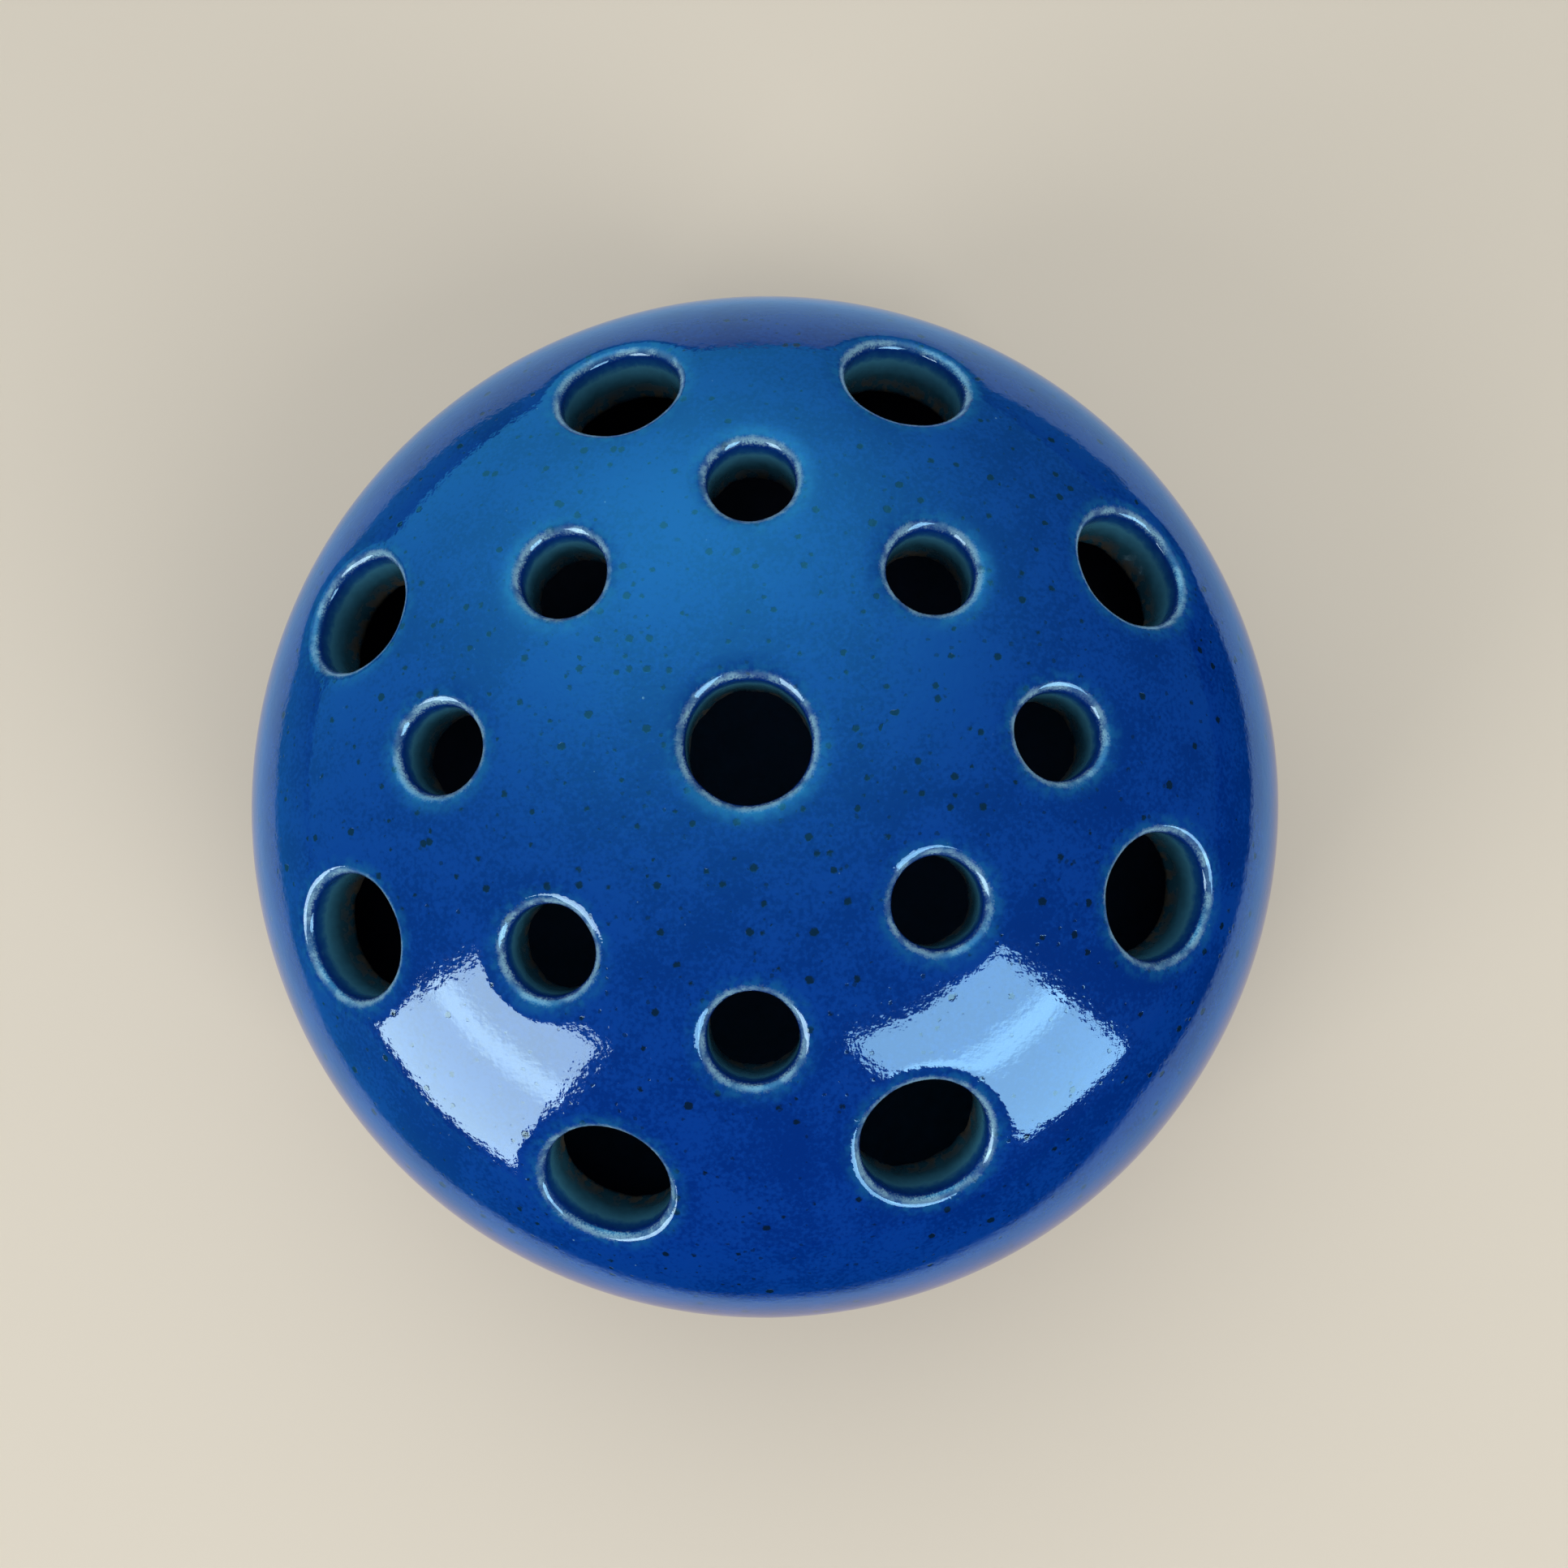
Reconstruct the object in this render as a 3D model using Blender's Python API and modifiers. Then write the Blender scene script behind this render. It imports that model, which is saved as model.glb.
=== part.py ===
"""Ceramic flower frog: a wheel-thrown, closed, squashed-sphere pot pierced by seventeen stem holes.

Three pieces nest in each other: the clay body, the glaze coat outside it and the glaze liner that
covers the cavity and the bores. Metres, +Z up. The origin is on the pot's axis, at the level of the
surface that the foot stands on.
"""

import math

import bmesh
import bpy
from mathutils import Matrix, Vector

MM = 0.001

# Outside of the glazed pot. Above and below its widest point the outline is a superellipse,
# (r / radius) ** EXPONENT_R + (z / height) ** EXPONENT_Z = 1, with z counted from the widest point.
POT_RADIUS = 67.5 * MM
WAIST_HEIGHT = 34.0 * MM
CROWN_RISE = 43.8 * MM
BELLY_DROP = 35.0 * MM
EXPONENT_R = 2.33
EXPONENT_Z = 2.30

# Inside of the lined pot. The floor is flatter than the dome.
WALL = 6.8 * MM
CROWN_WALL = 8.5 * MM
FLOOR_TOP = 10.0 * MM
FLOOR_EXPONENT = 3.0

# Coats, and the clearance that neighbouring solids keep.
OUTER_COAT = 0.5 * MM
LINER_COAT = 0.4 * MM
GAP = 0.3 * MM

# Foot ring, and the radius where the outer coat ends above it.
FOOT_RADIUS = 38.0 * MM
FOOT_WIDTH = 5.5 * MM
FOOT_RECESS = 4.0 * MM
FOOT_CHAMFER = 0.8 * MM
GLAZE_LINE_RADIUS = 43.5 * MM

# Stem holes: finished diameters and the plan radius of each ring. A hole runs square to the dome.
# The potter spaced them by eye, so each ring lists every hole's own shift from its even place,
# as degrees around the axis and millimetres outwards.
CROWN_HOLE = 14.0 * MM
INNER_HOLE = 10.2 * MM
OUTER_HOLE = 14.7 * MM
INNER_RING = 31.3 * MM
OUTER_RING = 50.0 * MM
OUTER_RING_START = 22.5
INNER_SHIFTS = (
    (2.2, 3.5),
    (-0.8, -2.6),
    (-0.2, -0.3),
    (2.2, -2.1),
    (-0.1, 4.0),
    (0.9, 0.5),
    (0.8, 1.1),
    (4.7, -4.0),
)
OUTER_SHIFTS = (
    (4.3, 0.5),
    (0.7, -0.3),
    (-2.5, -2.2),
    (1.9, 1.1),
    (1.5, 1.4),
    (3.7, 1.7),
    (1.6, -1.9),
    (3.1, -0.3),
)
DRILL_ABOVE = 6.0 * MM
DRILL_BELOW = 16.0 * MM

# Facets.
TURN_STEPS = 36
DOME_STEPS = 9
BELLY_STEPS = 5
HOLE_SIDES = 16
SHARP_ANGLE = math.radians(35)
MERGE_WITHIN = 0.01 * MM

STONEWARE = ("stoneware", (0.42, 0.28, 0.17), 0.75)
COBALT_GLAZE = ("cobalt_glaze", (0.01, 0.07, 0.30), 0.08)
LINER_GLAZE = ("liner_glaze", (0.03, 0.10, 0.20), 0.15)


# ---------------------------------------------------------------- outline


def curve_normal(radius, height, exponents, turn):
    """Unit normal (r, z) of a quarter superellipse, away from the axis and the widest point."""
    power_r, power_z = exponents
    across = math.sin(turn) ** (2 / power_r)
    along = abs(math.cos(turn)) ** (2 / power_z)
    out = power_r * across ** (power_r - 1) / radius
    up = power_z * along ** (power_z - 1) / height
    return Vector((out, up)).normalized()


def curve_point(radius, height, exponents, turn, inset):
    """(r, z) at turn on a quarter superellipse, 0 on the axis and 90 degrees at the widest point,
    moved inset along the inward normal. A negative height is a curve below the widest point."""
    power_r, power_z = exponents
    across = math.sin(turn) ** (2 / power_r)
    along = abs(math.cos(turn)) ** (2 / power_z)
    on_curve = Vector((radius * across, height * along))
    return on_curve - inset * curve_normal(radius, height, exponents, turn)


def turn_at(radius, power_r, plan_radius):
    """The turn at which the curve is plan_radius from the axis."""
    return math.asin((plan_radius / radius) ** (power_r / 2))


def quarter(radius, height, exponents, steps, inset, start=0.0, end=math.pi / 2):
    """Points along a quarter curve, with z counted from the surface that the foot stands on."""
    points = []
    for step in range(steps + 1):
        turn = start + (end - start) * step / steps
        r, z = curve_point(radius, height, exponents, turn, inset)
        points.append((max(r, 0.0), z + WAIST_HEIGHT))
    return points


def outside(inset, end_radius):
    """The pot's outer curve, from the crown down to end_radius on the belly."""
    exponents = (EXPONENT_R, EXPONENT_Z)
    dome = quarter(POT_RADIUS, CROWN_RISE, exponents, DOME_STEPS, inset)
    end = turn_at(POT_RADIUS, EXPONENT_R, end_radius)
    belly = quarter(
        POT_RADIUS, -BELLY_DROP, exponents, BELLY_STEPS, inset, math.pi / 2, end
    )
    return dome + belly[1:]


def cavity(inset):
    """The cavity's whole curve, from the axis at the crown to the axis at the floor."""
    radius = POT_RADIUS - WALL
    rise = CROWN_RISE - CROWN_WALL
    drop = WAIST_HEIGHT - FLOOR_TOP
    exponents = (EXPONENT_R, EXPONENT_Z)
    floor_exponents = (FLOOR_EXPONENT, FLOOR_EXPONENT)
    dome = quarter(radius, rise, exponents, DOME_STEPS, inset)
    floor = quarter(
        radius, -drop, floor_exponents, BELLY_STEPS, inset, math.pi / 2, 0.0
    )
    return dome + floor[1:]


def foot():
    """From the belly down the outside of the foot ring, across it and up into the recess."""
    inner = FOOT_RADIUS - FOOT_WIDTH
    return [
        (FOOT_RADIUS, FOOT_CHAMFER),
        (FOOT_RADIUS - FOOT_CHAMFER, 0.0),
        (inner + FOOT_CHAMFER, 0.0),
        (inner, FOOT_CHAMFER),
        (inner - FOOT_CHAMFER, FOOT_RECESS),
        (0.0, FOOT_RECESS),
    ]


# ---------------------------------------------------------------- stem holes


def dome_frame(plan_radius, azimuth):
    """Where a hole starts on the glazed dome, with its local Z along the dome's outward normal."""
    turn = turn_at(POT_RADIUS, EXPONENT_R, plan_radius)
    exponents = (EXPONENT_R, EXPONENT_Z)
    r, z = curve_point(POT_RADIUS, CROWN_RISE, exponents, turn, 0.0)
    normal = curve_normal(POT_RADIUS, CROWN_RISE, exponents, turn)
    tilt = math.atan2(normal.x, normal.y)
    spin = Matrix.Rotation(azimuth, 4, "Z")
    place = Matrix.Translation((r, 0.0, z + WAIST_HEIGHT))
    return spin @ place @ Matrix.Rotation(tilt, 4, "Y")


def stem_holes():
    """(frame, radius) of all seventeen holes."""
    holes = [(dome_frame(0.0, 0.0), CROWN_HOLE / 2)]
    rings = (
        (INNER_RING, 0.0, INNER_HOLE, INNER_SHIFTS),
        (OUTER_RING, OUTER_RING_START, OUTER_HOLE, OUTER_SHIFTS),
    )
    for plan_radius, start, diameter, shifts in rings:
        for place, (degrees, outwards) in enumerate(shifts):
            azimuth = math.radians(start + 360 / len(shifts) * place + degrees)
            frame = dome_frame(plan_radius + outwards * MM, azimuth)
            holes.append((frame, diameter / 2))
    return holes


# ---------------------------------------------------------------- scene helpers


def clear_scene():
    for old in list(bpy.data.objects):
        bpy.data.objects.remove(old, do_unlink=True)


def new_collection(name, parent=None):
    collection = bpy.data.collections.new(name)
    (parent or bpy.context.scene.collection).children.link(collection)
    return collection


def principled(name, colour, roughness):
    material = bpy.data.materials.new(name)
    material.use_nodes = True
    shader = material.node_tree.nodes["Principled BSDF"]
    shader.inputs["Base Color"].default_value = (*colour, 1.0)
    shader.inputs["Roughness"].default_value = roughness
    shader.inputs["Metallic"].default_value = 0.0
    return material


def turned(name, profile, collection):
    """A solid of revolution about Z. The profile is (r, z) points down the outer side."""
    mesh = bpy.data.meshes.new(name)
    sketch = bmesh.new()
    verts = [sketch.verts.new((r, 0.0, z)) for r, z in profile]
    for upper, lower in zip(verts, verts[1:]):
        sketch.edges.new((upper, lower))
    sketch.to_mesh(mesh)
    sketch.free()
    blank = bpy.data.objects.new(name, mesh)
    collection.objects.link(blank)
    screw = blank.modifiers.new("turn", "SCREW")
    screw.axis = "Z"
    screw.steps = TURN_STEPS
    screw.render_steps = TURN_STEPS
    screw.use_merge_vertices = True
    screw.merge_threshold = MERGE_WITHIN
    return blank


def drills(name, extra_radius, cutters):
    """A cutter for each stem hole, extra_radius wider than the finished hole, in its own group."""
    group = new_collection(name, cutters)
    for number, (frame, radius) in enumerate(stem_holes()):
        rod = bmesh.new()
        bmesh.ops.create_cone(
            rod,
            cap_ends=True,
            segments=HOLE_SIDES,
            radius1=radius + extra_radius,
            radius2=radius + extra_radius,
            depth=DRILL_ABOVE + DRILL_BELOW,
            matrix=Matrix.Translation((0.0, 0.0, (DRILL_ABOVE - DRILL_BELOW) / 2)),
        )
        mesh = bpy.data.meshes.new(f"{name}_{number}")
        rod.to_mesh(mesh)
        rod.free()
        drill = bpy.data.objects.new(mesh.name, mesh)
        drill.matrix_world = frame
        group.objects.link(drill)
        hide_cutter(drill)
    return group


def hide_cutter(cutter):
    cutter.hide_render = True
    cutter.display_type = "WIRE"


def combine(target, operation, operand):
    """Adds an exact Boolean with one object or with a group of objects."""
    boolean = target.modifiers.new(operation.lower(), "BOOLEAN")
    boolean.operation = operation
    boolean.solver = "EXACT"
    if isinstance(operand, bpy.types.Collection):
        boolean.operand_type = "COLLECTION"
        boolean.collection = operand
    else:
        boolean.object = operand


def finish(piece, material, parent):
    """Turns the modifiers into a mesh, shades it smooth and gives it its material."""
    bpy.context.view_layer.update()
    graph = bpy.context.evaluated_depsgraph_get()
    mesh = bpy.data.meshes.new_from_object(piece.evaluated_get(graph))
    mesh.name = piece.name
    piece.modifiers.clear()
    piece.data = mesh
    mesh.shade_smooth()
    mesh.set_sharp_from_angle(angle=SHARP_ANGLE)
    mesh.materials.clear()
    mesh.materials.append(material)
    piece.parent = parent


# ---------------------------------------------------------------- pieces


def stoneware_body(pieces, cutters, clay_drills):
    """Domed wall, closed floor and turned foot, hollowed and then drilled."""
    outline = outside(OUTER_COAT + GAP, FOOT_RADIUS)
    body = turned("stoneware_body", outline + foot(), pieces)
    hollow = turned("clay_hollow", cavity(-LINER_COAT - GAP), cutters)
    hide_cutter(hollow)
    combine(body, "DIFFERENCE", hollow)
    combine(body, "DIFFERENCE", clay_drills)
    return body


def outer_glaze(pieces, clay_drills):
    """The coat on the outside, open at the stem holes and below the glaze line."""
    outer = outside(0.0, GLAZE_LINE_RADIUS)
    inner = outside(OUTER_COAT, GLAZE_LINE_RADIUS)
    coat = turned("outer_glaze", outer + inner[::-1], pieces)
    combine(coat, "DIFFERENCE", clay_drills)
    return coat


def liner_glaze(pieces, cutters):
    """The coat on the cavity and the bores, whose ends are flush with the outer coat."""
    liner = turned("liner_glaze", cavity(-LINER_COAT), pieces)
    envelope = turned(
        "envelope", outside(0.0, FOOT_RADIUS) + [(0.0, FOOT_CHAMFER)], cutters
    )
    core = turned("liner_core", cavity(0.0), cutters)
    hide_cutter(envelope)
    hide_cutter(core)
    combine(liner, "UNION", drills("sleeves", LINER_COAT, cutters))
    combine(liner, "INTERSECT", envelope)
    combine(liner, "DIFFERENCE", core)
    combine(liner, "DIFFERENCE", drills("stem_bores", 0.0, cutters))
    return liner


def main():
    clear_scene()
    pieces = new_collection("flower_frog")
    cutters = new_collection("cutters")
    cutters.hide_render = True
    axis = bpy.data.objects.new("pot_axis", None)
    pieces.objects.link(axis)
    clay_drills = drills("clay_drills", LINER_COAT + GAP, cutters)
    body = stoneware_body(pieces, cutters, clay_drills)
    coat = outer_glaze(pieces, clay_drills)
    liner = liner_glaze(pieces, cutters)
    finish(body, principled(*STONEWARE), axis)
    finish(coat, principled(*COBALT_GLAZE), axis)
    finish(liner, principled(*LINER_GLAZE), axis)


main()
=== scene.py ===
"""Looks of the ceramic flower frog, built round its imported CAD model.

One closed skin is made first: the glazed dome, the lip and bore of each stem hole, the chamber, the
belly and the turned foot. The two glaze coats and the clay body are then taken from that skin, so
they fit each other everywhere. Metres, +Z up, origin on the pot's axis at the foot.
"""

import math

import bpy
import numpy as np
from mathutils import Matrix, Vector, noise
from mathutils.geometry import delaunay_2d_cdt


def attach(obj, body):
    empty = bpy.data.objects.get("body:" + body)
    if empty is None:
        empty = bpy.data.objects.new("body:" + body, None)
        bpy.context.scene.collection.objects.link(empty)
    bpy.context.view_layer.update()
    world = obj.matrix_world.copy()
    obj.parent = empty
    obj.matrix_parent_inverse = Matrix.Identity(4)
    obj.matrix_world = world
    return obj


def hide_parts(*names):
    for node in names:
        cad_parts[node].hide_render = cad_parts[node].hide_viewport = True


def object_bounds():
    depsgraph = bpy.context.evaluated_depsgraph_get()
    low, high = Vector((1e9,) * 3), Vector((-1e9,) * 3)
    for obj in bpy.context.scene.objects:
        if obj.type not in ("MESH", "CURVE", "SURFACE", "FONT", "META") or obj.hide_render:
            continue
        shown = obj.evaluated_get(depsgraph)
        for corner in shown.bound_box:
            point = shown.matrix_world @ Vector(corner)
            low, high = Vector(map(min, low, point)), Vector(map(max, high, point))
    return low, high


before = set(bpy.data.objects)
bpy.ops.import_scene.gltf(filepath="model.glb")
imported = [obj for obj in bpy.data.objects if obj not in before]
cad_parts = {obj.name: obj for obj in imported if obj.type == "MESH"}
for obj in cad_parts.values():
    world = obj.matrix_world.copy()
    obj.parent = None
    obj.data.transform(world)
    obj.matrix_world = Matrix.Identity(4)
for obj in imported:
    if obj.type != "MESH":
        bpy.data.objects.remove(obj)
CAD_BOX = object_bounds()

MM = 0.001

# Outline, as in the CAD model: superellipses above and below the widest point.
OUTLINE_POWERS = (2.33, 2.30)
FLOOR_POWERS = (3.0, 3.0)
BELLY_DROP = 35.0 * MM
CROWN_WALL = 8.5 * MM
LINER_COAT = 0.4 * MM
GLAZE_LINE_RADIUS = 43.5 * MM

# Coats of the finished pot.
COVER = 0.45 * MM
SEAT = 0.04 * MM

# Finding the CAD bores: their ends lie on the dome or, as facets, a little below it. An axis this
# near to upright has no side of its own.
ON_DOME = -0.06
HOLE_GAP = 4.5 * MM
NEARLY_UPRIGHT = 0.02

# Lip of a stem hole: the dome sinks towards the bore, then rolls into it.
LIP_ROUND = 1.2 * MM
LIP_LENGTH = LIP_ROUND * math.pi / 2
LIP_STEPS = 8
DIP_DEPTH = 0.45 * MM
DIP_REACH = 3.0 * MM
LIP_RINGS = (0.4 * MM, 0.85 * MM, 1.35 * MM, 1.95 * MM, 2.7 * MM)
SLOPE_STEP = 0.05 * MM
HOLE_POINTS = 64
LIP_WOBBLE = 0.16 * MM
WOBBLE_SIZE = 4.5 * MM
SEAM_DEPTH = 0.5 * MM
BORE_ROWS = 9
BURR = 0.22 * MM
BURR_DEPTH = 5.0 * MM
BURR_SIZE = 1.9 * MM
FINE_BURR_SIZE = 0.8 * MM
EDGE_ROUND = 0.9 * MM
EDGE_STEPS = 4
CEILING_RING = 1.1 * MM

# Glaze line: the coat ends in a rounded bead, which leaves an edge as thin as BEAD_EDGE.
BEAD = 0.9 * MM
BEAD_STEPS = 5
BEAD_EDGE = 0.07 * COVER

# Foot, as in the CAD model, with fine turning grooves in its recess.
FOOT_RADIUS = 38.0 * MM
FOOT_WIDTH = 5.5 * MM
RECESS_HEIGHT = 4.0 * MM
FOOT_ROUND = 0.8 * MM
CORNER_STEPS = 5
FOOT_SPACING = 0.8 * MM
GROOVE = 0.09 * MM
GROOVE_PITCH = 1.7 * MM

# Mesh spacing.
DOME_SPACING = 1.25 * MM
DOME_EDGE = 62.5 * MM
DOME_POINTS = 256
ROW_SPACING = 1.5 * MM
CEILING_SPACING = 2.3 * MM
CEILING_EDGE = 58.4 * MM
CHAMBER_POINTS = 144
CHAMBER_ROW = 1.8 * MM

# A distance that stands for far from any lip, or deep in the chamber.
FAR = 20.0 * MM

# Slow waves of the thrown wall, as a share of the radius, and rings left in the chamber.
WAVE_SHARE = 0.0009
WAVE_SIZE = 24.0 * MM
THROW_PITCH = 6.5 * MM
THROW_DEPTH = 0.05 * MM
THROW_FADE_ROWS = 4
THROW_FADE_RADIUS = 8.0 * MM

# How far from their start the lines through a curved surface are searched, and how finely.
LINE_ENDS = (-16.0 * MM, 8.0 * MM)
HALVINGS = 40

# Zones of the skin.
DOME, LINER, BARE = range(3)


# ---------------------------------------------------------------- turned surfaces


class Turned:
    """A quarter superellipse turned about Z, from its pole to its widest circle.
    A negative height is a curve below the widest circle."""

    def __init__(self, radius, height, powers, waist):
        self.radius, self.height, self.powers, self.waist = radius, height, powers, waist
        turns = np.linspace(0.0, math.pi / 2, 4001)
        self.r = radius * np.sin(turns) ** (2 / powers[0])
        self.z = height * np.abs(np.cos(turns)) ** (2 / powers[1])
        steps = np.hypot(np.diff(self.r), np.diff(self.z))
        self.arc = np.concatenate([[0.0], np.cumsum(steps)])

    def level(self, points):
        """Below zero inside the curve and above zero outside it."""
        r = np.hypot(points[:, 0], points[:, 1]) / self.radius
        z = np.abs((points[:, 2] - self.waist) / self.height)
        return r ** self.powers[0] + z ** self.powers[1] - 1.0

    def normal(self, points):
        r = np.maximum(np.hypot(points[:, 0], points[:, 1]), 1e-9)
        z = (points[:, 2] - self.waist) / self.height
        out = self.powers[0] / self.radius * (r / self.radius) ** (self.powers[0] - 1)
        up = self.powers[1] / self.height * np.abs(z) ** (self.powers[1] - 1)
        found = np.stack([out * points[:, 0] / r, out * points[:, 1] / r, up], axis=1)
        return found / np.linalg.norm(found, axis=1)[:, None]

    def hit(self, starts, direction):
        """Where lines through starts along direction leave the curve, found by halving."""
        low = np.full(len(starts), LINE_ENDS[0])
        high = np.full(len(starts), LINE_ENDS[1])
        for _ in range(HALVINGS):
            middle = (low + high) / 2
            inside = self.level(starts + middle[:, None] * direction) < 0
            low = np.where(inside, middle, low)
            high = np.where(inside, high, middle)
        return starts + ((low + high) / 2)[:, None] * direction

    def unrolled(self, points):
        """Plane coordinates: the arc length from the pole, along each point's own azimuth."""
        r = np.maximum(np.hypot(points[:, 0], points[:, 1]), 1e-9)
        return points[:, :2] * (np.interp(r, self.r, self.arc) / r)[:, None]

    def rolled(self, plane):
        arc = np.maximum(np.hypot(plane[:, 0], plane[:, 1]), 1e-9)
        r = np.interp(arc, self.arc, self.r)
        z = np.interp(arc, self.arc, self.z) + self.waist
        return np.column_stack([plane * (r / arc)[:, None], z])

    def rows(self, start_radius, end_radius, spacing):
        """(r, z) points along the curve, about spacing apart, from one radius to the other."""
        ends = np.interp([start_radius, end_radius], self.r, self.arc)
        count = max(2, round(abs(ends[1] - ends[0]) / spacing))
        arcs = np.linspace(ends[0], ends[1], count + 1)
        r = np.interp(arcs, self.arc, self.r)
        z = np.interp(arcs, self.arc, self.z) + self.waist
        return np.column_stack([r, z])


def node_points(name):
    return np.array([vertex.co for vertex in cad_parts[name].data.vertices])


def rise_through(points, radius, waist):
    """The superellipse's height, from the highest of the points on it."""
    top = points[points[:, 2].argmax()]
    share = 1.0 - (math.hypot(top[0], top[1]) / radius) ** OUTLINE_POWERS[0]
    return (top[2] - waist) / share ** (1 / OUTLINE_POWERS[1])


def outline_surfaces():
    """The dome, the belly, the chamber's ceiling and its floor, from the CAD nodes."""
    coat = node_points("outer_glaze")
    liner = node_points("liner_glaze")
    radii = np.hypot(coat[:, 0], coat[:, 1])
    radius = radii.max()
    waist = float(coat[radii.argmax(), 2])
    rise = rise_through(coat, radius, waist)
    liner_radii = np.hypot(liner[:, 0], liner[:, 1])
    chamber_radius = liner_radii[np.abs(liner[:, 2] - waist) < 0.5 * MM].min()
    floor_top = liner[liner_radii < 0.5 * MM][:, 2].max()
    dome = Turned(radius, rise, OUTLINE_POWERS, waist)
    belly = Turned(radius, -BELLY_DROP, OUTLINE_POWERS, waist)
    ceiling = Turned(chamber_radius, rise - CROWN_WALL, OUTLINE_POWERS, waist)
    floor = Turned(chamber_radius, floor_top - waist, FLOOR_POWERS, waist)
    return dome, belly, ceiling, floor


# ---------------------------------------------------------------- stem holes


def clusters(points, reach):
    """Groups of points that are linked by steps shorter than reach."""
    left = np.arange(len(points))
    while len(left):
        group = left[:1]
        left = left[1:]
        grown = True
        while grown:
            gaps = np.linalg.norm(points[left][:, None] - points[group][None], axis=2)
            near = gaps.min(axis=1) < reach if len(left) else np.zeros(0, bool)
            grown = bool(near.any())
            group = np.concatenate([group, left[near]])
            left = left[~near]
        yield points[group]


class Hole:
    """A stem hole: a point of its axis on the dome, the axis, two side directions and the radius."""

    def __init__(self, rim, dome):
        self.centre = rim.mean(axis=0)
        for _ in range(8):
            self.centre = dome.hit(self.centre[None], self.axis_at(dome))[0]
            self.axis = self.axis_at(dome)
            self.side = np.cross((0.0, 0.0, 1.0), self.axis)
            upright = np.hypot(self.axis[0], self.axis[1]) < NEARLY_UPRIGHT
            self.side = np.array((0.0, 1.0, 0.0)) if upright else self.side
            self.side = self.side - self.axis * (self.side @ self.axis)
            self.side /= np.linalg.norm(self.side)
            self.out = np.cross(self.side, self.axis)
            local = (rim - self.centre) @ np.stack([self.out, self.side], axis=1)
            middle = (local.min(axis=0) + local.max(axis=0)) / 2
            self.centre = self.centre + self.out * middle[0] + self.side * middle[1]
        self.radius = np.linalg.norm(local - middle, axis=1).max() - LINER_COAT

    def axis_at(self, dome):
        return dome.normal(self.centre[None])[0]

    def clear_of(self, points):
        """Distance of each point outside the bore's wall."""
        away = points - self.centre
        along = away @ self.axis
        return np.linalg.norm(away - along[:, None] * self.axis, axis=1) - self.radius


def find_holes(dome):
    """All stem holes, from the ends of the CAD liner's bores, which lie on the dome."""
    points = node_points("liner_glaze")
    up = points[:, 2] > dome.waist
    on_dome = points[up & (dome.level(points) > ON_DOME)]
    return [Hole(rim, dome) for rim in clusters(on_dome, HOLE_GAP)]


def noise_at(points, size, seed=0.0):
    """Smooth noise from about -1 to 1, with lumps about size across."""
    shift = Vector((seed, 0.0, 0.0))
    return np.array([noise.noise(Vector(point) / size + shift) for point in points])


def dip(out):
    """How far the dome has sunk at a distance from the bore's wall."""
    return DIP_DEPTH * max(0.0, 1.0 - out / DIP_REACH) ** 2


def corner(start, bend, end, steps):
    """The rings of a round corner between start and end, whose tangents meet at bend."""
    rings = []
    for step in range(1, steps):
        share = step / steps
        weights = ((1 - share) ** 2, 1.5 * share * (1 - share), share**2)
        blended = weights[0] * start + weights[1] * bend + weights[2] * end
        rings.append(blended / sum(weights))
    return rings


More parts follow.
